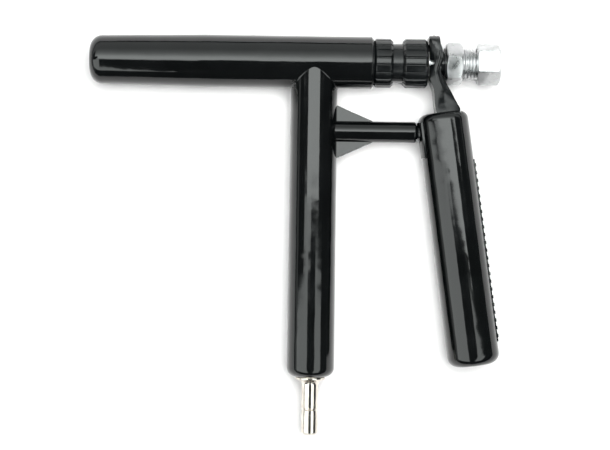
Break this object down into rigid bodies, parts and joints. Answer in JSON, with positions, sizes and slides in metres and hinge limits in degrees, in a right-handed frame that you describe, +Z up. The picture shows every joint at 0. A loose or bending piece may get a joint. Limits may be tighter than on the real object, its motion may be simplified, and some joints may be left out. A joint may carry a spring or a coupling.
{
  "type": "meat injector",
  "caption": "Pistol-shaped brine and meat injector: long barrel, handle with hose tail, squeeze lever rocking on a ball pivot, ribbed adjusting rings and threaded needle fitting.",
  "frame": {"origin": "centre of the bounding box's footprint, on the table the injector lies on", "axes": "+X along the barrel to the needle fitting, +Y from the hose tail to the barrel, +Z up from the table"},
  "size_m": [0.2062, 0.2, 0.026],
  "materials": {
    "gloss_black": "polished moulded",
    "satin_black": "satin moulded",
    "chrome": "bright plated",
    "nickel": "bright nickel plated",
    "steel": "bright",
    "brass": "turned",
    "rubber": "matt",
    "acetal": "satin"
  },
  "bodies": {
    "body": {"gun_body": "gloss_black", "spring_seat": "brass", "cylinder_liner": "steel", "front_gland": "satin_black", "gland_o_ring": "rubber", "rod_seal": "rubber", "rod_guide_bush": "acetal", "inlet_valve_body": "brass", "inlet_spring": "steel", "feed_tube_seal": "rubber", "feed_tube": "steel", "tail_seal": "rubber", "hose_tail": "nickel", "fulcrum_pin": "satin_black"},
    "lever": {"lever_yoke": "satin_black", "grip_sleeve": "gloss_black", "fulcrum_shoe": "satin_black", "shoe_screw": "steel", "grip_rib_strip": "satin_black"},
    "rod": {"piston_rod": "chrome", "piston": "brass", "piston_seal_rear": "rubber", "piston_seal_front": "rubber", "spring_cup": "brass", "rod_nut": "steel", "return_spring": "steel", "stop_ring": "steel", "thrust_washer": "satin_black", "needle_fitting": "chrome", "outlet_seat": "brass", "outlet_spring": "steel", "outlet_retainer": "brass"},
    "outlet_ball": {"outlet_ball": "steel"},
    "inlet_ball": {"inlet_ball": "steel"},
    "lock_washer": {"lock_washer": "satin_black"},
    "lock_ring": {"lock_ring": "satin_black"},
    "dose_stop": {"dose_stop": "brass"},
    "dose_collar": {"dose_collar": "satin_black"},
    "clamp_ring": {"needle_clamp_ring": "brass"},
    "union_nut": {"union_nut": "chrome"}
  },
  "joints": [
    {"name": "lever_swing", "type": "hinge", "parent": "body", "child": "lever", "pos_m": [0.06355, 0.0516, 0.013], "axis": [0, 0, -1], "range_deg": [0, 13], "stiffness_Nm_per_rad": 2, "springref_deg": -17.19},
    {"name": "rod_slide", "type": "slide", "parent": "body", "child": "rod", "axis": [1, 0, 0], "range_m": [0, 0.00852], "deforming": ["return_spring"]},
    {"name": "outlet_ball_lift", "type": "slide", "parent": "rod", "child": "outlet_ball", "axis": [1, 0, 0], "range_m": [0, 0.0009], "stiffness_N_per_m": 20, "springref_m": -0.0005, "deforming": ["outlet_spring"]},
    {"name": "inlet_ball_lift", "type": "slide", "parent": "body", "child": "inlet_ball", "axis": [0, 1, 0], "range_m": [0, 0.0009], "stiffness_N_per_m": 20, "springref_m": -0.0005, "deforming": ["inlet_spring"]},
    {"name": "lock_ring_turn", "type": "hinge", "parent": "lock_washer", "child": "lock_ring", "pos_m": [0.04294, 0.086, 0.013], "axis": [1, 0, 0], "range_deg": [0, 720]},
    {"name": "lock_ring_advance", "type": "slide", "parent": "body", "child": "lock_washer", "axis": [1, 0, 0], "range_m": [0, 0.003]},
    {"name": "dose_collar_turn", "type": "hinge", "parent": "dose_stop", "child": "dose_collar", "pos_m": [0.05894, 0.086, 0.013], "axis": [1, 0, 0], "range_deg": [-900, 0]},
    {"name": "dose_collar_advance", "type": "slide", "parent": "body", "child": "dose_stop", "axis": [1, 0, 0], "range_m": [-0.00375, 0]},
    {"name": "union_nut_turn", "type": "hinge", "parent": "clamp_ring", "child": "union_nut", "pos_m": [0.09595, 0.086, 0.013], "axis": [1, 0, 0], "range_deg": [0, 720]},
    {"name": "union_nut_advance", "type": "slide", "parent": "rod", "child": "clamp_ring", "axis": [1, 0, 0], "range_m": [0, 0.003]}
  ],
  "couplings": [
    {"joint": "rod_slide", "follows": "lever_swing", "m_per_rad": 0.0375},
    {"joint": "lock_ring_advance", "follows": "lock_ring_turn", "m_per_rad": 0.00023873},
    {"joint": "dose_collar_advance", "follows": "dose_collar_turn", "m_per_rad": 0.00023873},
    {"joint": "union_nut_advance", "follows": "union_nut_turn", "m_per_rad": 0.00023873}
  ]
}
